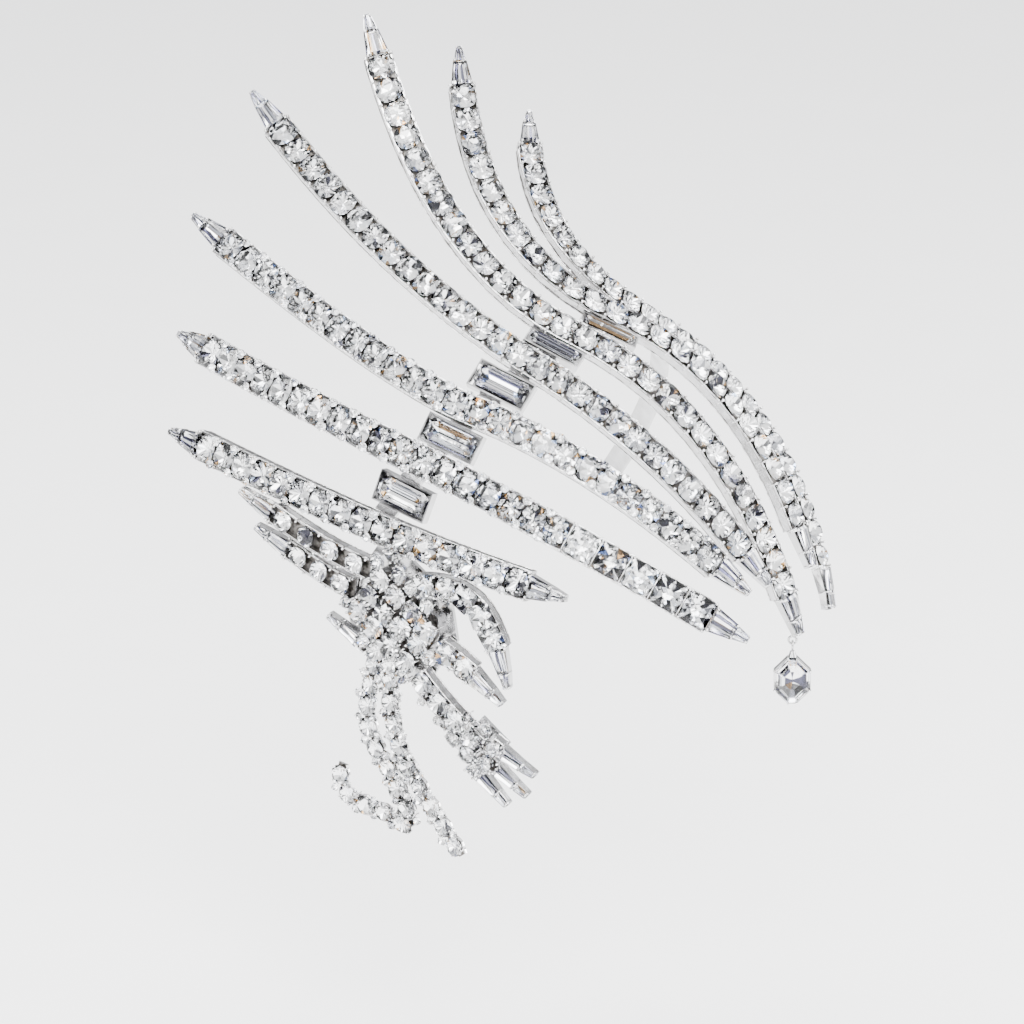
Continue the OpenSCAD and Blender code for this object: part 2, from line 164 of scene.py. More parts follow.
# painted reflections: the greys, darks and coloured fire of the foil facets are painted into the foil's
# colour
paintedFlashes = {  # for each kind of foil facet, its colours and the share of facets that have them
    1: [  # big facets of a round stone
        ((1.0, 1.0, 1.0), 74), ((0.84, 0.86, 0.89), 14), ((0.5, 0.51, 0.54), 7), ((0.02, 0.02, 0.03), 5),
    ],
    2: [  # small facets
        ((1.0, 1.0, 1.0), 46), ((0.75, 0.77, 0.8), 14), ((0.3, 0.31, 0.34), 9), ((0.008, 0.008, 0.012), 21),
        ((0.42, 0.24, 0.1), 1.8), ((0.06, 0.09, 0.2), 3), ((0.25, 0.15, 0.06), 2.2), ((0.4, 0.5, 0.68), 2),
    ],
    3: [  # dark steps
        ((0.04, 0.04, 0.07), 45), ((0.16, 0.16, 0.22), 30),
        ((0.4, 0.41, 0.46), 17), ((0.22, 0.14, 0.07), 8),
    ],
    4: [((1.0, 1.0, 1.0), 80), ((0.8, 0.82, 0.86), 20)],  # light steps
}


def newFinish(name):
    finish = bpy.data.materials.new(name)
    finish.use_nodes = True
    nodes, links = finish.node_tree.nodes, finish.node_tree.links
    return finish, nodes, links, nodes["Principled BSDF"]


def roughen(nodes, links, shader, look):
    place = nodes.new("ShaderNodeTexCoord")
    noise = nodes.new("ShaderNodeTexNoise")
    noise.inputs["Scale"].default_value = look["scale"]
    noise.inputs["Detail"].default_value = grain["detail"]
    spread = nodes.new("ShaderNodeMapRange")
    spread.inputs["From Min"].default_value = grain["from"]
    spread.inputs["From Max"].default_value = grain["to"]
    spread.inputs["To Min"].default_value = look["rough"][0]
    spread.inputs["To Max"].default_value = look["rough"][1]
    links.new(place.outputs["Object"], noise.inputs["Vector"])
    links.new(noise.outputs["Fac"], spread.inputs["Value"])
    links.new(spread.outputs["Result"], shader.inputs["Roughness"])
    return noise


def makeMetal(name):
    look = metals[name]
    finish, nodes, links, shader = newFinish(name)
    shader.inputs["Metallic"].default_value = 1
    noise = roughen(nodes, links, shader, look)
    ramp = nodes.new("ShaderNodeValToRGB")
    dull, bright = ramp.color_ramp.elements
    dull.position, dull.color = grain["middle"] - look["soft"], look["dull"]
    bright.position, bright.color = grain["middle"] + look["soft"], look["bright"]
    links.new(noise.outputs["Fac"], ramp.inputs["Fac"])
    links.new(ramp.outputs["Color"], shader.inputs["Base Color"])
    bump = nodes.new("ShaderNodeBump")
    bump.inputs["Strength"].default_value = grain["bump"]
    bump.inputs["Distance"].default_value = grain["bumpDeep"]
    links.new(noise.outputs["Fac"], bump.inputs["Height"])
    links.new(bump.outputs["Normal"], shader.inputs["Normal"])
    return finish


def makeCrystal():  # the clear upper facets
    finish, nodes, links, shader = newFinish("clearCrystal")
    shader.inputs["Base Color"].default_value = (1, 1, 1, 1)
    shader.inputs["Transmission Weight"].default_value = 1
    shader.inputs["IOR"].default_value = crystalLook["index"]
    roughen(nodes, links, shader, crystalLook)
    return finish


def makeFoil():  # the mirror back of each stone, with painted reflections and glints as its facet colours
    finish, nodes, links, shader = newFinish("stoneFoil")
    shader.inputs["Metallic"].default_value = 1
    paintedFlash = nodes.new("ShaderNodeAttribute")
    paintedFlash.attribute_name = "paintedFlash"
    links.new(paintedFlash.outputs["Color"], shader.inputs["Base Color"])
    roughen(nodes, links, shader, foilLook)
    return finish


def pickPaintedFlash(kind):
    share = dice.uniform(0, sum(f[1] for f in paintedFlashes[kind]))
    for colour, weight in paintedFlashes[kind]:
        share -= weight
        if share <= 0:
            break
    return (*colour, 1)


# the last finish is painted shade
silver, railSilver, shadeSilver = [makeMetal(name) for name in metals]
crystal, foil = makeCrystal(), makeFoil()
print("finishes made")

# mesh helpers


class Heap:  # gathers many small shapes into one mesh
    def __init__(self):
        self.verts, self.faces, self.slots, self.soft, self.paintedFlash = [], [], [], [], []

    def add(self, shape, place, soft=False):
        base = len(self.verts)
        self.verts += [place @ Vector(v) for v in shape["verts"]]
        for face, slot in zip(shape["faces"], shape["slots"]):
            self.faces.append([base + i for i in face])
            self.slots.append(min(slot, 1))
            self.soft.append(soft)
            # each foil facet gets a painted reflection colour
            self.paintedFlash.append(pickPaintedFlash(slot) if slot else (1, 1, 1, 1))

    def piece(self, name, finishes, body="headpiece", slot="crystal", stands=()):
        mesh = bpy.data.meshes.new(name)
        mesh.from_pydata([(v - crown) * mm for v in self.verts], [], self.faces)
        for finish in finishes:
            mesh.materials.append(finish)
        mesh.polygons.foreach_set("material_index", self.slots)
        mesh.polygons.foreach_set("use_smooth", self.soft)
        if len(finishes) > 1:
            colours = mesh.color_attributes.new("paintedFlash", "FLOAT_COLOR", "CORNER")
            for face, colour in zip(mesh.polygons, self.paintedFlash):
                for loop in face.loop_indices:
                    colours.data[loop].color = colour
        mesh.update()
        made = bpy.data.objects.new(name, mesh)
        bpy.context.scene.collection.objects.link(made)
        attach(made, body)
        if stands:
            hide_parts(*stands)
        return made


def shapeOf(verts, faces, slots):
    return {"verts": verts, "faces": faces, "slots": slots}


def ringed(rings, capped=True, slotFor=None):  # rings listed from low to high, anticlockwise
    n = len(rings[0])
    verts = [v for ring in rings for v in ring]
    faces, slots = [], []
    for r in range(len(rings) - 1):
        for j in range(n):
            a, b = r * n + j, r * n + (j + 1) % n
            faces.append([a, b, b + n, a + n])
            slots.append(slotFor(r, j) if slotFor else 0)
    if capped:
        faces.append(list(range(n))[::-1])
        slots.append(slotFor(0, 0) if slotFor else 0)
        faces.append([(len(rings) - 1) * n + j for j in range(n)])
        slots.append(slotFor(len(rings) - 2, 0) if slotFor else 0)
    return shapeOf(verts, faces, slots)


def shift(x, y, z):
    return Matrix.Translation((x, y, z))


# stones: slot 0 is the clear crown, and 1 and up the kinds of foil facet

roundCut = {
    "table": 0.58, "star": 0.8, "fold": 0.5,  # shares of the radius
    "foldDeep": 0.6,  # share of the depth
    "fourfold": 0.45,  # share of the stones with four folds and not eight
}
steps = {  # levels from low to high, as share of x, share of y and z, and the foil's kinds of facet
    "up": [(0.88, 0.74, 0.9), (0.78, 0.5, 1.4)],
    "down": [(0.7, 0.04, -1.5), (0.78, 0.3, -1.2), (0.86, 0.55, -0.8), (0.94, 0.8, -0.4)],
    "kinds": [[3, 4, 4, 2], [4, 4, 3, 2], [4, 2, 4, 4], [3, 4, 3, 2]],
}
longSteps = {  # levels as the share of the width cut off at each side, and z
    "up": [(0.1, 1.0), (0.19, 1.7), (0.27, 2)],
    "down": [(0.47, -3), (0.33, -2.22), (0.16, -1.2)],
    "kinds": [[3, 2, 4, 2, 3, 2, 4, 2], [3, 4, 3, 2, 4, 3, 4, 2], [2, 4, 4, 3, 4, 2, 3, 4]],
}
squareCut = {
    "side": 0.98, "corner": 0.8, "table": 0.66, "fold": 0.44,  # shares of half the size
    "high": 1.6, "deep": 3.1, "foldDeep": 1.5,
    "kinds": [1, 4, 2, 1, 2],
}


def ringOf(radius, z, turn, count, square=2.0):  # square 2 is a circle, more is a cushion
    ring = []
    for k in range(count):
        x, y = cos(turn + 2 * pi * k / count), sin(turn + 2 * pi * k / count)
        r = radius / (abs(x) ** square + abs(y) ** square) ** (1 / square)
        ring.append((r * x, r * y, z))
    return ring


def brilliant(long, wide, high=1.9, deep=3.0, square=2.0):
    table, star = roundCut["table"], roundCut["star"]
    starHigh = (1 - star * cos(pi / 8)) / (1 - table)
    verts = ringOf(table, 1, pi / 8, 8, square)  # 0 table
    verts += ringOf(star, starHigh, 0, 8, square)  # 8 star points
    verts += ringOf(1, 0, 0, 16, square)  # 16 rim
    faces = [list(range(8))]
    for k in range(8):
        faces.append([k, 8 + k, 16 + (2 * k + 1) % 16, 8 + (k + 1) % 8])
        faces.append([8 + k, k, (k - 1) % 8])
        faces.append([8 + k, 16 + 2 * k, 16 + (2 * k + 1) % 16])
        faces.append([8 + k, 16 + (2 * k - 1) % 16, 16 + 2 * k])
    slots = [0] * len(faces)
    folds = 4 if dice.random() < roundCut["fourfold"] else 8
    verts += ringOf(roundCut["fold"], -roundCut["foldDeep"], pi / folds, folds)  # 32 folds
    verts.append((0, 0, -1))
    point, share = len(verts) - 1, 16 // folds
    for k in range(folds):
        fold, before = 32 + k, 32 + (k - 1) % folds
        rim = [16 + (share * k + j) % 16 for j in range(share + 1)]
        faces.append([point, fold, rim[0], before])
        slots.append(1)
        for j in range(share):
            faces.append([fold, rim[j + 1], rim[j]])
            slots.append(2)
    sized = [(x * long / 2, y * wide / 2, z * (high if z > 0 else deep)) for x, y, z in verts]
    return shapeOf(sized, faces, slots)


def stepCut(outline, up, down, kinds):
    middleX = sum(x for x, y in outline) / len(outline)
    middleY = sum(y for x, y in outline) / len(outline)

    def level(shareX, shareY, z):
        return [(middleX + (x - middleX) * shareX, middleY + (y - middleY) * shareY, z) for x, y in outline]

    def slotFor(ring, side):
        return kinds[ring][side % len(kinds[ring])] if ring < len(down) else 0

    rings = [level(*v) for v in down] + [level(1, 1, 0)] + [level(*v) for v in up]
    return ringed(rings, slotFor=slotFor)


def cutCorners(long, wide, cut):
    x, y = long / 2, wide / 2
    return [(x, cut - y), (x, y - cut), (x - cut, y), (cut - x, y),
            (-x, y - cut), (-x, cut - y), (cut - x, -y), (x - cut, -y)]


def taperCut(long, wideA, wideB):
    outline = [(0, -wideA / 2), (long, -wideB / 2), (long, wideB / 2), (0, wideA / 2)]
    return stepCut(outline, steps["up"], steps["down"], steps["kinds"])


def longCut(long, wide, cut):
    def inset(levels):
        return [(1 - 2 * v * wide / long, 1 - 2 * v, z) for v, z in levels]

    outline = cutCorners(long, wide, cut)
    return stepCut(outline, inset(longSteps["up"]), inset(longSteps["down"]), longSteps["kinds"])


def cushionCut(size):  # a square stone over a cross of folded facets
    h = size / 2
    outline = []
    quarter = [(h, 0), (h * squareCut["side"], h * squareCut["corner"]),
               (h * squareCut["corner"], h * squareCut["side"])]
    for k in range(4):
        outline += quarter
        quarter = [(-y, x) for x, y in quarter]
    verts = [(x * squareCut["table"], y * squareCut["table"], squareCut["high"]) for x, y in outline]
    verts += [(x, y, 0) for x, y in outline]  # 12 to 23
    verts.append((0, 0, -squareCut["deep"]))  # 24
    r = h * squareCut["fold"]
    for k in range(4):  # 25 to 28
        a = (2 * k + 1) * pi / 4
        verts.append((r * cos(a), r * sin(a), -squareCut["foldDeep"]))
    faces = [list(range(12))] + [[k, 12 + k, 12 + (k + 1) % 12, (k + 1) % 12] for k in range(12)]
    slots = [0] * len(faces)
    for k in range(4):
        rim = [12 + (3 * k + j) % 12 for j in range(4)]
        fold, before = 25 + k, 25 + (k - 1) % 4
        faces += [[24, rim[0], before], [24, fold, rim[0]], [fold, rim[1], rim[0]], [fold, rim[2], rim[1]],
                  [fold, rim[3], rim[2]]]
        slots += squareCut["kinds"]
    return shapeOf(verts, faces, slots)


def turned(place, spin, tilt):  # a little out of true, as stones set by hand are
    for most, axis in ((spin, "Z"), (tilt, "X"), (tilt, "Y")):
        place = place @ Matrix.Rotation(dice.uniform(-most, most), 4, axis)
    return place


# claws and beads

claw = {
    "inset": 0.15,  # of its line from a strip's edge
    "out": 0.12, "reach": 0.35,  # from that line, out at the foot and in at the top
    "foot": -2.2, "knee": -0.2, "rise": 0.75,  # rise is over a stone's rim
    "bendIn": 0.05, "bendHigh": 0.6,
    "stem": 0.38, "swell": (0.8, 1, 1, 0.9), "ball": 0.62,
}


def ball(radius, centre, around=8, up=5):
    x, y, z = centre
    rings = []
    for i in range(1, up):
        a = -pi / 2 + pi * i / up
        rings.append([(x + radius * cos(a) * cos(2 * pi * k / around),
                       y + radius * cos(a) * sin(2 * pi * k / around),
                       z + radius * sin(a)) for k in range(around)])
    body = ringed(rings, capped=False)
    n = len(body["verts"])
    body["verts"] += [(x, y, z - radius), (x, y, z + radius)]
    for k in range(around):
        j = (k + 1) % around
        body["faces"] += [[n, j, k], [n + 1, (up - 2) * around + k, (up - 2) * around + j]]
        body["slots"] += [0, 0]
    return body


def wire(path, radius, sides=6):  # radius is one number, or a list with one for each point
    path = [Vector(p) for p in path]
    radii = radius if isinstance(radius, list) else [radius] * len(path)
    angles = [2 * pi * k / sides for k in range(sides)]
    rings, normal = [], None
    for i, (p, r) in enumerate(zip(path, radii)):
        forward = (path[min(i + 1, len(path) - 1)] - path[max(i - 1, 0)]).normalized()
        if normal is None:
            normal = forward.orthogonal().normalized()
        normal = (normal - forward * normal.dot(forward)).normalized()
        side = forward.cross(normal)
        rings.append([tuple(p + normal * (r * cos(a)) + side * (r * sin(a))) for a in angles])
    return ringed(rings)


def addProng(heap, place, path, stem, head, tip):  # a wire along the path and a ball at the tip
    heap.add(wire(path, stem), place, soft=True)
    heap.add(ball(head, tip), place, soft=True)


def addClaw(heap, place, y, x=0.0, size=1.0, top=claw["rise"] + channel["rimLift"]):
    s = 1 if y > 0 else -1  # y is the claw's line along the wall that it climbs
    out, tip = y + s * claw["out"], (x, y - s * claw["reach"], top)
    path = [(x, out, claw["foot"]), (x, out, claw["knee"]),
            (x, out - s * claw["bendIn"], top * claw["bendHigh"]), tip]
    stem = claw["stem"] * size
    addProng(heap, place, path, [stem * share for share in claw["swell"]], claw["ball"] * size, tip)


print("helpers ready")

# what every strip has: edges, dark lines and a dark sheet of painted shade, and tips

edgeWires = {"in": 0.12, "radius": 0.3, "lifts": (0.0, 0.25 - channel["high"])}  # top and foot of a wall
shadeLines = {"in": 0.02, "radius": 0.13, "lifts": (-0.45, 0.72 - channel["high"])}  # painted shade lines, dark, beside them
shadeSheet = {"lift": 0.12, "thick": 0.2, "gap": 0.05}
tipStones = {
    "gap": 0.2,  # at each end of a stone
    "taperWide": 0.84, "taperTrim": 0.3, "neckWide": 0.54, "neckTrim": 0.2,
    "pointWide": 0.44, "pointLeast": 1.4,
}
tipWalls = {
    "spare": 0.2,
    "pointWide": 0.2, "taperFrom": 0.24, "taperGrows": 0.16,  # shares of the strip's width
}
tipClaws = {  # spots are distance from the end and size
    "spots": ((endLong - 0.5, 1), (tips["point"] + 0.2, 0.85), (1.0, 0.7)),
    "top": 2.1,
}


def sectionAt(place, points):  # a ring across a strip, from points of y and z
    return [tuple(place @ Vector((0, y, z))) for y, z in points]


def boxAt(place, half, low, high):
    return sectionAt(place, ((-half, low), (half, low), (half, high), (-half, high)))


def addEdges(heap, strip, wide, first, last, edges, count):  # wires along both walls
    for side in (-1, 1):
        for z in edges["lifts"]:
            spot = Vector((0, side * (wide / 2 - edges["in"]), z))
            path = [strip.place(first + (last - first) * k / count) @ spot for k in range(count + 1)]
            heap.add(wire(path, edges["radius"]), Matrix.Identity(4), soft=True)


def addShadeSheet(dark, strip, wide, first, last, count):  # a dark sheet in the channel, painted shade in the gaps between stones
    low = channel["floor"] - channel["high"] + shadeSheet["lift"]
    half = wide / 2 - channel["edge"] - shadeSheet["gap"]
    high = low + shadeSheet["thick"]
    places = [strip.place(first + (last - first) * k / count) for k in range(count + 1)]
    dark.add(ringed([boxAt(place, half, low, high) for place in places]), Matrix.Identity(4))


def tipHalf(d, total, wide, share):  # from the middle to a wall's face, near an end
    e = min(d, total - d)
    if e < tips["point"]:
        grows = wide * (tipWalls["pointWide"] - share / 2)
        return wide / 2 * share + tipWalls["spare"] + grows * e / tips["point"]
    grows = tipWalls["taperGrows"] * wide
    return wide * tipWalls["taperFrom"] + grows * (e - tips["point"]) / tips["taper"]


def addTip(gems, metal, strip, toward, wide, share):  # toward is 1 at the front end and -1 at the rear
    end = strip.total if toward == 1 else 0
    lift, gap = channel["tipLift"] + channel["rimLift"], tipStones["gap"]
    taper = (endLong - gap, tips["taper"] - 2 * gap,
             wide * tipStones["taperWide"] - tipStones["taperTrim"],
             wide * tipStones["neckWide"] - tipStones["neckTrim"])
    point = (tips["point"] - gap, tips["point"] - 2 * gap,
             wide * max(share, tipStones["pointWide"]),
             max(wide * share, tipStones["pointLeast"]))
    for back, long, wideA, wideB in (taper, point):
        place = strip.place(end - toward * (back - long / 2), toward)
        gems.add(taperCut(long, wideA, wideB), place @ shift(-long / 2, 0, lift))
    for e, size in tipClaws["spots"]:
        d = end - toward * e
        half = tipHalf(d, strip.total, wide, share)
        for side in (-1, 1):
            addClaw(metal, strip.place(d), side * (half - claw["inset"]), size=size, top=tipClaws["top"])


# the seven spines

spines = [  # share is the width left at the front end
    {"around": 8, "heading": 24, "width": 12, "stones": 16, "share": 0.2, "fillers": True,
     "front": (-78, -93, 12), "frontPull": 40, "rear": (-78, 112, 39), "rearPull": 50},
    {"around": 28, "heading": 20, "width": 13, "stones": 24, "share": 0.2, "fillers": True, "squares": 5,
     "front": (-23, -141, -9), "frontPull": 68, "rear": (-72, 112, 78), "rearPull": 77},
    {"around": 45, "heading": 24, "width": 12, "stones": 25, "share": 0.2, "fillers": True,
     "front": (-10, -131, 5), "frontPull": 61, "rear": (-72, 105, 129), "rearPull": 37},
    {"around": 64, "heading": 16, "width": 11.5, "stones": 27, "share": 0.2,
     "front": (5, -129, 4), "frontPull": 69, "rear": (-53, 90, 179), "rearPull": 71},
    {"around": 79, "heading": 27, "width": 11.4, "stones": 28, "share": 0.2,
     "front": (30, -124, -24), "frontPull": 72, "rear": (-27, 52, 212), "rearPull": 65},
    {"around": 96, "heading": 44, "width": 10.5, "stones": 23, "share": 0.2,
     "front": (56.2, -109, -5.5), "frontPull": 64, "rear": (6, 32, 195), "rearPull": 70},
    {"around": 108, "heading": 49, "width": 10, "stones": 23, "share": 0.5,
     "front": (68.9, -108.5, -26.4), "frontPull": 85, "rear": (29, 15, 166), "rearPull": 63},
]
spineRow = {
    "edgeStart": 0.5, "edgeSteps": 60, "floorSteps": 40,
    "air": 0.1, "trim": 0.6, "fillerTrim": 0.9,  # what a stone is smaller than its seat
    "spread": 1.4,  # most that a stone is wider than its share of the row
    "grown": (0.96, 1.03), "loose": (0.14, 0.09), "square": 2.7,
    "endClaw": 0.3,
}
filler = {
    "inset": 1.25, "size": (3.2, 4.0), "high": 1.1, "deep": 1.6, "lift": 1.7, "loose": (1, 0.15),
    "clawAside": 2.1, "clawInset": 0.1, "clawSize": 0.8, "clawTop": 1.6,
}
squares = {
    "pitch": 13, "air": 0.5, "trim": 0.9, "loose": (0.03, 0.03),
    "bar": 0.3, "barLift": 0.9, "barInset": 0.4, "clawInset": 1.0, "clawSize": 0.9,
}


def spineStrip(s):
    forward, bandSide = bandHeading(s["around"], s["heading"]), bandOut(s["around"])
    high = channel["high"]
    out = outwardAt(bandSpot(s["around"], high), forward, facingFrom)
    askew = abs(out.cross(forward).dot(bandSide))
    lift = headBand["restGap"] + high * out.dot(bandSide) + s["width"] / 2 * askew
    middle = bandSpot(s["around"], lift)
    rear = bend(middle, middle - forward * s["rearPull"], Vector(s["rear"]))
    front = bend(middle, middle + forward * s["frontPull"], Vector(s["front"]))
    return Strip(rear[::-1] + front[1:], facingFrom)


def addFiller(gems, metal, place, side, wide):  # a small stone and two claws on one wall
    y, size = side * (wide / 2 - filler["inset"]), dice.uniform(*filler["size"])
    stone = brilliant(size, size, filler["high"], filler["deep"])
    gems.add(stone, turned(place @ shift(0, y, filler["lift"]), *filler["loose"]))
    y = side * (wide / 2 - filler["clawInset"])
    for x in (-filler["clawAside"], filler["clawAside"]):
        addClaw(metal, place, y, x=x, size=filler["clawSize"], top=filler["clawTop"])


def addSquare(gems, metal, place, long, wide):  # a square stone, with a bar behind it and four claws
    stone = cushionCut(min(long - squares["air"], wide - squares["trim"]))
    gems.add(stone, turned(place @ shift(0, 0, channel["rimLift"]), *squares["loose"]))
    bar, lift = wide / 2 - squares["barInset"], squares["barLift"]
    metal.add(wire([(-long / 2, -bar, lift), (-long / 2, bar, lift)], squares["bar"]), place, soft=True)
    aside = long / 2 - squares["clawInset"]
    for x in (-aside, aside):
        for side in (-1, 1):
            addClaw(metal, place, side * (wide / 2 - claw["inset"]), x=x, size=squares["clawSize"])


def addRow(gems, metal, strip, s):
    wide, first, last = s["width"], endLong, strip.total - endLong
    roundsEnd = last - squares["pitch"] * s.get("squares", 0)
    rounds = round((roundsEnd - first) / ((last - first) / s["stones"]))
    step = (roundsEnd - first) / rounds
    trim = spineRow["fillerTrim"] if s.get("fillers") else spineRow["trim"]
    stoneWide = min(wide - trim, step + spineRow["spread"])
    for i in range(rounds):
        grown = dice.uniform(*spineRow["grown"])
        stone = brilliant((step - spineRow["air"]) * grown, stoneWide * grown, square=spineRow["square"])
        place = strip.place(first + step * (i + 0.5)) @ shift(0, 0, channel["rimLift"])
        gems.add(stone, turned(place, *spineRow["loose"]))
    for i in range(rounds + 1):
        d = min(max(first + step * i, first + spineRow["endClaw"]), roundsEnd - spineRow["endClaw"])
        for side in (-1, 1):
            if s.get("fillers") and 0 < i < rounds:
                addFiller(gems, metal, strip.place(d), side, wide)
            else:
                addClaw(metal, strip.place(d), side * (wide / 2 - claw["inset"]))
    for i in range(s.get("squares", 0)):
        long = (last - roundsEnd) / s["squares"]
        addSquare(gems, metal, strip.place(roundsEnd + long * (i + 0.5)), long, wide)


def buildSpine(number, s):
    strip, wide = spineStrip(s), s["width"]
    stones, ends, metal, dark = Heap(), Heap(), Heap(), Heap()
    first, last = endLong + spineRow["edgeStart"], strip.total - endLong - spineRow["edgeStart"]
    addEdges(metal, strip, wide, first, last, edgeWires, spineRow["edgeSteps"])
    # painted shade: dark lines beside the wires and a dark sheet in the channel
    addEdges(dark, strip, wide, first, last, shadeLines, spineRow["edgeSteps"])
    addShadeSheet(dark, strip, wide, endLong, strip.total - endLong, spineRow["floorSteps"])
    dark.piece("spine_%d_floor" % number, [shadeSilver], slot="silver")
    addRow(stones, metal, strip, s)
    addTip(ends, metal, strip, -1, wide, tips["pointed"])
    addTip(ends, metal, strip, 1, wide, s["share"])
    stones.piece("spine_%d_gems" % number, [crystal, foil], stands=["spine_%d_stones" % number])
    ends.piece("spine_%d_end_gems" % number, [crystal, foil], stands=["spine_%d_tips" % number])
    metal.piece("spine_%d_claws" % number, [silver], slot="silver")


for i, s in enumerate(spines):
    buildSpine(i + 1, s)
print("spines built")

# box-set stones on the band

baguettes = [
    {"around": 18, "heading": 20, "long": 24, "wide": 11.6, "ahead": 3.7},
    {"around": 36.3, "heading": 20, "long": 24, "wide": 11, "ahead": 2.3},
    {"around": 54.6, "heading": 20, "long": 24, "wide": 11, "ahead": 0},
    {"around": 72, "heading": 22, "long": 23, "wide": 6.4, "ahead": 0},
    {"around": 88, "heading": 34, "long": 23, "wide": 6, "ahead": 5},
    {"around": 120, "heading": 46, "long": 23, "wide": 11, "ahead": 0},
]
box = {"lift": 4.5, "walls": 1.6, "corner": 1.8, "cornerShare": 0.2}


def buildBaguette(number, b):
    stone = Heap()
    forward = bandHeading(b["around"], b["heading"])
    place = axes(bandSpot(b["around"], box["lift"]) + forward * b["ahead"], forward, bandOut(b["around"]))
    corner = min(box["corner"], b["wide"] * box["cornerShare"])
    stone.add(longCut(b["long"] - box["walls"], b["wide"] - box["walls"], corner), place)
    stone.piece("baguette_gem_%d" % number, [crystal, foil], stands=["baguette_%d" % number])


for i, b in enumerate(baguettes):
    buildBaguette(i + 1, b)
print("box-set stones built")

# the spray over the ear

spray = {"middle": Vector((-86, -12, -12)), "splay": 6, "dip": 35, "facing": Vector((0, 0, -300))}
sprayOut = Vector((-cos(radians(spray["splay"])), -sin(radians(spray["splay"])), 0))
sprayLevel = Vector((sin(radians(spray["splay"])), -cos(radians(spray["splay"])), 0))
sprayFirst = sprayLevel * cos(radians(spray["dip"])) - Vector((0, 0, sin(radians(spray["dip"]))))
sprayPlace = axes(spray["middle"], sprayFirst, sprayOut)

spikes = [
    {"guide": [(-21.5, 8, 0.2), (-48, -3.3, 1), (-84, -9, 0)], "width": 9, "stones": 4},
    {"guide": [(-22, -4.2, 0.2), (-32, -9.2, 0.5), (-70, -16, 0)], "width": 9, "stones": 3},
    {"guide": [(-3, -19, 0.3), (-12, -19.5, 0.8), (-23.5, -20.2, 1)], "width": 7, "stones": 0},
]
arms = [  # a plain arm has no tip, but small stones on its walls between the big ones
    {"guide": [(0, 20, 0.2), (12, 33.5, 3), (34, 35, 2), (54, 13.7, -3)],
     "width": 9.5, "stones": 5, "grown": 1.3, "squares": True},
    {"guide": [(22, 6, 0.3), (36, 8.5, 0), (55.8, 5.8, -4)],
     "width": 9.5, "stones": 2, "grown": 1.2, "squares": True},
    {"guide": [(20.5, -10.8, 0.3), (31, -14, 0), (58, -17.8, -5)],
     "width": 10, "stones": 4, "grown": 0.6, "plain": True},
]
toes = [
    {"guide": [(1.5, 5.5, 0), (12, 7, 0), (23.5, 10, -1)], "width": 6.8, "stones": 1},
    {"guide": [(1.5, -1.8, 0), (14, -1, 0), (27, 0, -1)], "width": 6.8, "stones": 1},
    {"guide": [(1.5, -9.1, 0), (12, -9.4, 0), (24, -10.5, -1)], "width": 6.8, "stones": 1},
]
armShadeLines = {**shadeLines, "lifts": (-0.45, 0.75 - channel["high"])}
armRow = {
    "least": 2,  # shortest row with a channel
    "edgeStart": 0.3, "steps": 24, "trim": 0.8, "spread": 0.3, "square": 2.5, "loose": (0.4, 0.12),
    "firstClaw": 0.6, "lastClaw": 0.5,
}
armSquares = {"spread": 1.6, "lift": 0.5, "loose": (0.3, 0.12)}
armSmall = {"size": 4.2, "high": 1.4, "deep": 2, "inset": 0.6, "lift": 2.2, "loose": (1, 0.2)}


def addArmChannel(metal, dark, strip, wide, body):
    first, last = armRow["edgeStart"], body - armRow["edgeStart"]
    addEdges(metal, strip, wide, first, last, edgeWires, armRow["steps"])
    # painted shade: dark lines beside the wires and a dark sheet in the channel
    addEdges(dark, strip, wide, first, last, armShadeLines, armRow["steps"])
    addShadeSheet(dark, strip, wide, first, last, armRow["steps"])


def addArmSmall(gems, place, wide):  # a small stone on each wall
    for side in (-1, 1):
        y = side * (wide / 2 - armSmall["inset"])
        stone = brilliant(armSmall["size"], armSmall["size"], armSmall["high"], armSmall["deep"])
        gems.add(stone, turned(place @ shift(0, y, armSmall["lift"]), *armSmall["loose"]))


def addArmStones(gems, strip, arm, step):
    size = arm["width"] - armRow["trim"] + arm.get("grown", 0)
    for i in range(arm["stones"]):
        place = strip.place(step * (i + 0.5)) @ shift(0, 0, channel["rimLift"])
        if arm.get("squares") and i != 1:
            stone = cushionCut(min(size, step + armSquares["spread"]))
            gems.add(stone, turned(place @ shift(0, 0, armSquares["lift"]), *armSquares["loose"]))
        else:
            stone = brilliant(min(step + armRow["spread"], size), size, square=armRow["square"])
            gems.add(stone, turned(place, *armRow["loose"]))
        if arm.get("plain") and i:
            addArmSmall(gems, strip.place(step * i), arm["width"])


def addArm(gems, metal, dark, arm, base):
    strip = Strip(guided(arm["guide"]), spray["facing"], base)
    wide, count = arm["width"], arm["stones"]
    body = strip.total - (0 if arm.get("plain") else endLong)
    if body > armRow["least"]:
        addArmChannel(metal, dark, strip, wide, body)
    if count:
        addArmStones(gems, strip, arm, body / count)
        for i in range(count + 1):
            d = min(max(body * i / count, armRow["firstClaw"]), body - armRow["lastClaw"])
            for side in (-1, 1):
                addClaw(metal, strip.place(d), side * (wide / 2 - claw["inset"]))
    if not arm.get("plain"):
        addTip(gems, metal, strip, 1, wide, tips["pointed"])
    return strip


def buildArms():
    spikeGems, clawGems, metal, dark = Heap(), Heap(), Heap(), Heap()
    for spike in spikes:
        addArm(spikeGems, metal, dark, spike, sprayPlace)
    for arm in arms:
        strip = addArm(clawGems, metal, dark, arm, sprayPlace)
    for toe in toes:  # they start at the end of the last arm
        addArm(clawGems, metal, dark, toe, strip.place(strip.total))
    spikeGems.piece("spike_gems", [crystal, foil], stands=["spike_stones"])
    clawGems.piece("claw_gems", [crystal, foil], stands=["claw_stones"])
    metal.piece("spray_claws", [silver], slot="silver")
    dark.piece("spray_painted_shade", [shadeSilver], slot="silver")


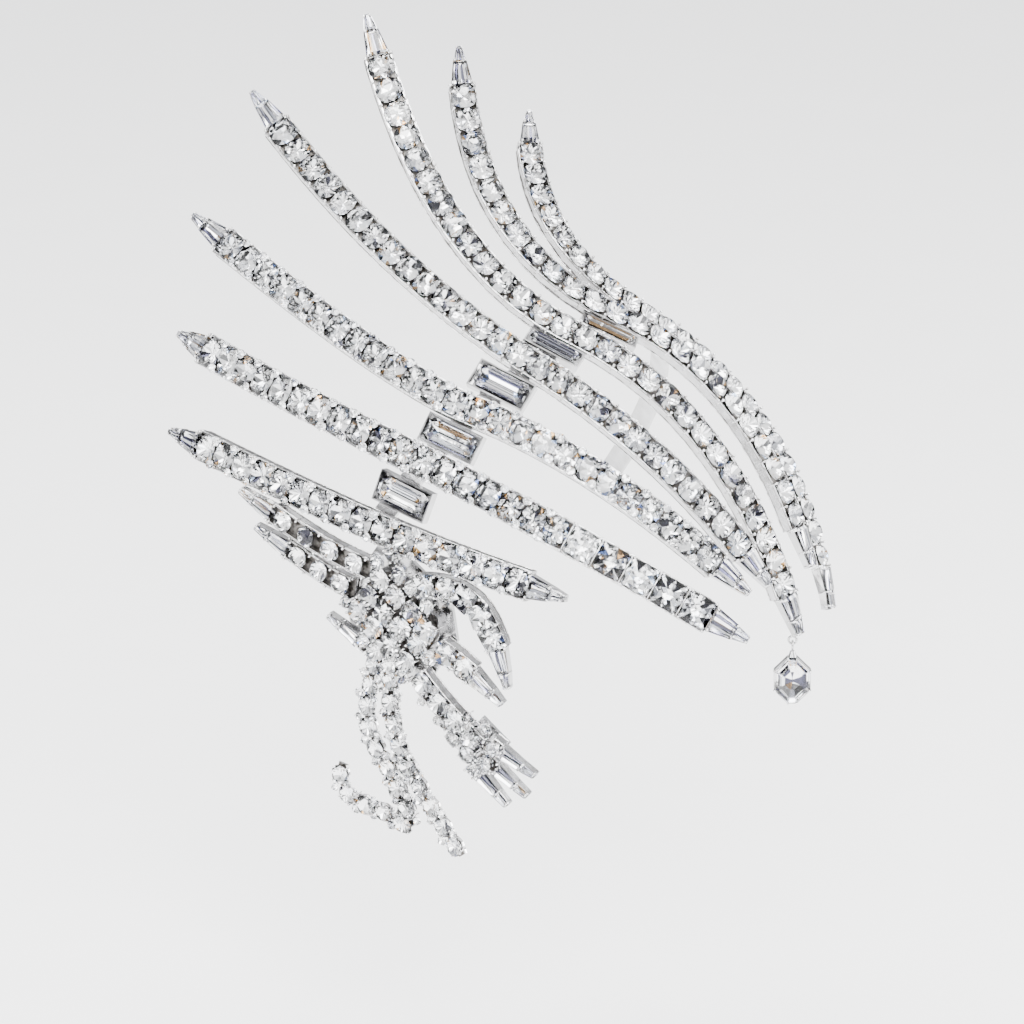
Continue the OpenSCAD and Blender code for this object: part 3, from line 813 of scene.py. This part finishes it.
cluster = {
    "columns": 4, "rows": 3, "pitch": 9.4,
    "size": 9.5, "lifts": (1.4, 2.1), "square": 2.5, "loose": (0.4, 0.13),
    "squares": ((3, 2), (1, 1), (2, 0)),  # column and row of each square stone
    "squareGrown": 0.5, "squareLift": 0.9,
    "boss": -2.1, "bossTrim": 1, "bossCorner": 5, "lidLow": 0.03, "lidHigh": 0.15,
}
clusterClaw = {
    "out": 0.25, "foot": -2.2, "rise": 0.6, "stem": 0.35,
    "head": 0.6, "headIn": 0.3, "headRise": 0.8,
}
moreStones = [  # x, y, size and lift of the stones beside the cluster's own rows
    (-15.5, 23.5, 8.2, 2.2), (-8.6, 18.3, 7.6, 2.0), (-19.2, 15.3, 7, 1.8), (-1.2, 17.6, 6, 1.8),
    (8.5, 17.2, 6.4, 2.2), (-5.5, -16.6, 6.6, 2.0), (1.8, -16.9, 7.4, 2.4), (9.6, -16.6, 6.8, 2.2),
    (16.5, -15.8, 6.2, 1.9), (21.6, 0.4, 6.4, 2.1), (-20.3, -9.8, 5.4, 1.6),
]
palmStones = [  # x, y and size of the stones between the last arm and its toes
    (47.2, -22.6, 7.6), (54.8, -13.4, 8.2), (55.6, -23.6, 8.4), (62.6, -14.2, 7.4),
    (63.4, -22, 6.6), (40.6, -20.8, 5.6), (46.8, -11.4, 5.6), (55.8, -8.6, 4.6),
]
palm = {"lift": -4.2, "foot": -2.6}
filling = {
    "square": 2.4, "loose": (0.6, 0.15), "foot": -3.4,
    "clawTurn": 0.5, "top": 0.7, "stem": 0.3, "head": 0.52, "headShare": 0.95, "headTop": 0.8,
}


def addClusterStone(gems, metal, column, line):
    x = (column - (cluster["columns"] - 1) / 2) * cluster["pitch"]
    y = (line - (cluster["rows"] - 1) / 2) * cluster["pitch"]
    size, lift = cluster["size"], cluster["lifts"][(column + line) % 2]
    place = turned(sprayPlace @ shift(x, y, lift), *cluster["loose"])
    if (column, line) in cluster["squares"]:
        gems.add(cushionCut(size + cluster["squareGrown"]), place @ shift(0, 0, cluster["squareLift"]))
    else:
        gems.add(brilliant(size, size, square=cluster["square"]), place)
    for k in range(4):
        a, r = pi / 4 + k * pi / 2, size / 2 + clusterClaw["out"]
        footX, footY = x + r * cos(a), y + r * sin(a)
        path = [(footX, footY, clusterClaw["foot"]), (footX, footY, lift + clusterClaw["rise"])]
        tip = (footX - clusterClaw["headIn"] * cos(a), footY - clusterClaw["headIn"] * sin(a),
               lift + clusterClaw["headRise"])
        addProng(metal, sprayPlace, path, clusterClaw["stem"], clusterClaw["head"], tip)


def addFillingStone(gems, metal, x, y, size, lift, foot):
    place = turned(sprayPlace @ shift(x, y, lift), *filling["loose"])
    gems.add(brilliant(size, size, square=filling["square"]), place)
    for k in range(4):
        a = k * pi / 2 + filling["clawTurn"]
        clawX, clawY = size / 2 * cos(a), size / 2 * sin(a)
        tip = (clawX * filling["headShare"], clawY * filling["headShare"], filling["headTop"])
        path = [(clawX, clawY, foot), (clawX, clawY, filling["top"])]
        addProng(metal, place, path, filling["stem"], filling["head"], tip)


def buildCluster():
    gems, more, metal, dark = Heap(), Heap(), Heap(), Heap()
    boss = cutCorners(cluster["columns"] * cluster["pitch"] - cluster["bossTrim"],
                      cluster["rows"] * cluster["pitch"] - cluster["bossTrim"], cluster["bossCorner"])
    levels = [cluster["boss"] + cluster["lidLow"], cluster["boss"] + cluster["lidHigh"]]
    # a dark lid over the boss: painted shade between the cluster's stones
    dark.add(ringed([[(x, y, z) for x, y in boss] for z in levels]), sprayPlace)
    dark.piece("cluster_painted_shade", [shadeSilver], slot="silver")
    for column in range(cluster["columns"]):
        for line in range(cluster["rows"]):
            addClusterStone(gems, metal, column, line)
    gems.piece("cluster_gems", [crystal, foil], stands=["ear_cluster"])
    for x, y, size, lift in moreStones:
        addFillingStone(more, metal, x, y, size, lift, filling["foot"])
    for x, y, size in palmStones:
        addFillingStone(more, metal, x, y, size, palm["lift"], palm["foot"])
    more.piece("spray_filling_gems", [crystal, foil])
    metal.piece("cluster_claws", [silver], slot="silver")


tails = [  # big lists the stones that are larger
    {"name": "tail_1", "big": (7, 8, 10),
     "guide": [(2, -20, -3.3), (8, -41, -3), (23, -52, -3), (40.6, -57.3, -3),
               (57, -66.3, -3), (39.4, -71, -2), (21.2, -80.5, -2), (16, -69, -2)]},
    {"name": "tail_2", "big": (9,),
     "guide": [(10, -20, -3.3), (22, -39, -3.5), (43, -51, -5), (77, -63, -8)]},
]
tailRow = {
    "pitch": 8.5, "width": 8, "size": (0.98, 1.1), "bigger": 1.16, "aside": 0.6, "spread": 0.5,
    "high": 1.9, "deep": 1.5, "square": 2.4, "lift": 1.7, "loose": (0.5, 0.14),
}
tailBack = {
    "steps": 6,  # to a stone
    "narrow": 0.55, "swell": 0.33,  # shares of half the width
    "low": -1.1, "edge": -0.2, "top": 0.1, "bevel": 0.4, "lidInset": 0.5, "lidLow": 0.03, "lidHigh": 0.14,
}
tailClaw = {
    "turn": radians(48), "foot": -0.6, "top": 1.9, "outX": 0.1, "outY": 1.04,
    "stem": 0.32, "head": 0.52, "headShare": 0.96, "headTop": 2.1,
}
tailSmall = {  # stones beside the joins, distance from the middle and size
    "stones": ((3.7, 4.2), (-3.5, 3.4)), "high": 1.2, "deep": 1.2, "lift": 1.6, "loose": (1, 0.2),
    "bead": 0.55, "beadLift": 1.8,
}


def addTailBack(metal, dark, strip, count):  # thin backing that swells under each stone, and its dark lid of painted shade between the stones
    rings, lids = [], []
    low, edge, top = tailBack["low"], tailBack["edge"], tailBack["top"]
    last = tailBack["steps"] * count
    for k in range(last + 1):
        d = strip.total * k / last
        swell = 0.5 - 0.5 * cos(2 * pi * d / (strip.total / count))
        half = tailRow["width"] / 2 * (tailBack["narrow"] + tailBack["swell"] * swell)
        inner, inset = half - tailBack["bevel"], half - tailBack["lidInset"]
        rings.append(sectionAt(strip.place(d), (
            (-half, low), (half, low), (half, edge), (inner, top), (-inner, top), (-half, edge))))
        lids.append(boxAt(strip.place(d), inset, tailBack["lidLow"], tailBack["lidHigh"]))
    metal.add(ringed(rings), Matrix.Identity(4))
    dark.add(ringed(lids), Matrix.Identity(4))


def addTailClaws(metal, place, size):
    x, y = size / 2 * cos(tailClaw["turn"]), size / 2 * sin(tailClaw["turn"])
    for side in (-1, 1):
        for along in (-1, 1):
            path = [(along * x, side * y, tailClaw["foot"]),
                    (along * (x + tailClaw["outX"]), side * y * tailClaw["outY"], tailClaw["top"])]
            tip = (along * x * tailClaw["headShare"], side * y * tailClaw["headShare"], tailClaw["headTop"])
            addProng(metal, place, path, tailClaw["stem"], tailClaw["head"], tip)


def addTailSmall(gems, metal, place, side):
    for aside, size in tailSmall["stones"]:
        y = side * aside
        stone = brilliant(size, size, tailSmall["high"], tailSmall["deep"])
        gems.add(stone, turned(place @ shift(0, y, tailSmall["lift"]), *tailSmall["loose"]))
        outward = size / 2 * (1 if y > 0 else -1)
        metal.add(ball(tailSmall["bead"], (0, y + outward, tailSmall["beadLift"])), place, soft=True)


def buildTail(tail):
    strip = Strip(guided(tail["guide"]), spray["facing"], sprayPlace)
    metal, gems, dark = Heap(), Heap(), Heap()
    count = int(strip.total // tailRow["pitch"])
    step = strip.total / count
    addTailBack(metal, dark, strip, count)
    dark.piece(tail["name"] + "_shadow", [shadeSilver], slot="silver")
    for i in range(count):
        place = strip.place(step * (i + 0.5))
        size = tailRow["width"] * dice.uniform(*tailRow["size"])
        if i in tail["big"]:
            size *= tailRow["bigger"]
        y = dice.uniform(-tailRow["aside"], tailRow["aside"])
        stone = brilliant(min(step + tailRow["spread"], size), size, tailRow["high"], tailRow["deep"],
                          square=tailRow["square"])
        gems.add(stone, turned(place @ shift(0, y, tailRow["lift"]), *tailRow["loose"]))
        addTailClaws(metal, place, size)
        if i:
            addTailSmall(gems, metal, strip.place(step * i), 1 if i % 2 else -1)
    gems.piece(tail["name"] + "_gems", [crystal, foil])
    metal.piece(tail["name"] + "_backing", [silver], slot="silver", stands=[tail["name"]])


buildArms()
buildCluster()
for tail in tails:
    buildTail(tail)
print("spray built")

# the drop

drop = {
    "eye": Vector((29.9, -120.8, -26.7)), "turn": -50, "below": 16.85,
    "wide": 13, "high": 17.5, "rim": 1.2, "corner": 0.38, "lift": 1.3,
    "up": [(0.9, 0.93, 0.9), (0.7, 0.76, 2.1), (0.6, 0.67, 2.6)],
    "down": [(0.03, 0.12, -2), (0.42, 0.4, -1.6), (0.7, 0.7, -1.1), (0.88, 0.9, -0.6)],
    "kinds": [[3, 2], [3, 2, 2], [2, 3, 4, 2], [4, 4, 2]],
}
dropClaw = {"out": 0.25, "in": 0.6, "foot": 0.1, "bend": 1.5, "top": 1.95, "stem": 0.26, "head": 0.38}


def buildDrop():
    gems, metal = Heap(), Heap()
    middle = Matrix.Translation(drop["eye"] - Vector((0, 0, drop["below"])))
    base = middle @ Matrix.Rotation(radians(drop["turn"]), 4, "Z") @ Matrix.Rotation(radians(90), 4, "X")
    wide, high = drop["wide"] + drop["rim"], drop["high"] + drop["rim"]
    outline = cutCorners(wide, high, wide * drop["corner"])
    gems.add(stepCut(outline, drop["up"], drop["down"], drop["kinds"]), base @ shift(0, 0, drop["lift"]))
    for x, y in outline:
        out = Vector((x, y, 0)).normalized() * dropClaw["out"]
        tip = (x - out.x * dropClaw["in"], y - out.y * dropClaw["in"], dropClaw["top"])
        path = [(x + out.x, y + out.y, dropClaw["foot"]), (x + out.x, y + out.y, dropClaw["bend"]), tip]
        addProng(metal, base, path, dropClaw["stem"], dropClaw["head"], tip)
    gems.piece("drop_gem", [crystal, foil], body="drop", stands=["drop_stone"])
    metal.piece("drop_claws", [silver], body="drop", slot="silver")


buildDrop()
print("drop built")

# the solid model's own metal

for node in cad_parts.values():
    if node.type == "MESH":
        node.data.materials.clear()
        node.data.materials.append(railSilver)

# floor, light and camera, in metres

studio = {
    "horizon": (0.1, 0.1, 0.11, 1), "top": (1, 1, 1, 1), "strength": 1.9,
    "bands": ((0.14, 0.16), (0.2, 0.95), (0.42, 1.0), (0.47, 0.3), (0.55, 0.35), (0.6, 1.0)),
    "tint": (0.97, 0.98, 1),  # of the bands, each of which is a height and a tone
}
paleFloor = {"half": 6, "below": 0.09, "colour": (0.9, 0.9, 0.9, 1), "rough": (0.6, 0.75), "scale": 30}
lights = {
    "key": {"spot": (-1.0, -1.0, 1.1), "size": (0.9, 0.9), "power": 75},
    "side": {"spot": (1.0, -1.1, 0.5), "size": (0.5, 1.0), "power": 34},
    "low": {"spot": (-1.3, 0.1, 0.0), "size": (0.3, 1.0), "power": 16},
    "top": {"spot": (0.1, 0.4, 1.4), "size": (1.0, 1.0), "power": 60},
}
lightAim = Vector((0, 0.02, -0.06))
view = {
    "aim": Vector((2.25, 45.6, -84.5)) * mm, "toward": Vector((-0.728, -0.611, 0.309)),
    "away": 5.0, "lens": 439, "sensor": 36, "far": 30,
}


def buildWorld():
    world = bpy.data.worlds.new("studio")
    world.use_nodes = True
    nodes, links = world.node_tree.nodes, world.node_tree.links
    place = nodes.new("ShaderNodeTexCoord")
    split = nodes.new("ShaderNodeSeparateXYZ")
    ramp = nodes.new("ShaderNodeValToRGB")
    links.new(place.outputs["Generated"], split.inputs["Vector"])
    links.new(split.outputs["Z"], ramp.inputs["Fac"])  # dark at the horizon, bright bands above
    horizon, top = ramp.color_ramp.elements
    horizon.color, top.color = studio["horizon"], studio["top"]
    for spot, tone in studio["bands"]:
        ramp.color_ramp.elements.new(spot).color = (*(tone * tint for tint in studio["tint"]), 1)
    links.new(ramp.outputs["Color"], nodes["Background"].inputs["Color"])
    nodes["Background"].inputs["Strength"].default_value = studio["strength"]
    bpy.context.scene.world = world


def buildStage():
    far, low = paleFloor["half"], cadBox[0][2] - paleFloor["below"]
    mesh = bpy.data.meshes.new("floor")
    corners = [(-far, -far, low), (far, -far, low), (far, far, low), (-far, far, low)]
    mesh.from_pydata(corners, [], [[0, 1, 2, 3]])
    floor = bpy.data.objects.new("floor", mesh)
    pale, nodes, links, shader = newFinish("paleFloor")
    shader.inputs["Base Color"].default_value = paleFloor["colour"]
    roughen(nodes, links, shader, paleFloor)
    mesh.materials.append(pale)
    bpy.context.scene.collection.objects.link(floor)
    return floor


def buildLight(name, look):
    data = bpy.data.lights.new(name, "AREA")
    data.shape, data.energy = "RECTANGLE", look["power"]
    data.size, data.size_y = look["size"]
    light = bpy.data.objects.new(name, data)
    light.location = look["spot"]
    light.rotation_euler = (lightAim - Vector(look["spot"])).to_track_quat("-Z", "Y").to_euler()
    bpy.context.scene.collection.objects.link(light)


def buildCamera():
    data = bpy.data.cameras.new("photoView")
    data.lens, data.sensor_width, data.clip_end = view["lens"], view["sensor"], view["far"]
    camera = bpy.data.objects.new("photoView", data)
    camera.location = view["aim"] + view["toward"].normalized() * view["away"]
    camera.rotation_euler = (-view["toward"]).to_track_quat("-Z", "Y").to_euler()
    bpy.context.scene.collection.objects.link(camera)
    bpy.context.scene.camera = camera


buildWorld()
buildStage()
for name, look in lights.items():
    buildLight(name, look)
buildCamera()
print("stage built")
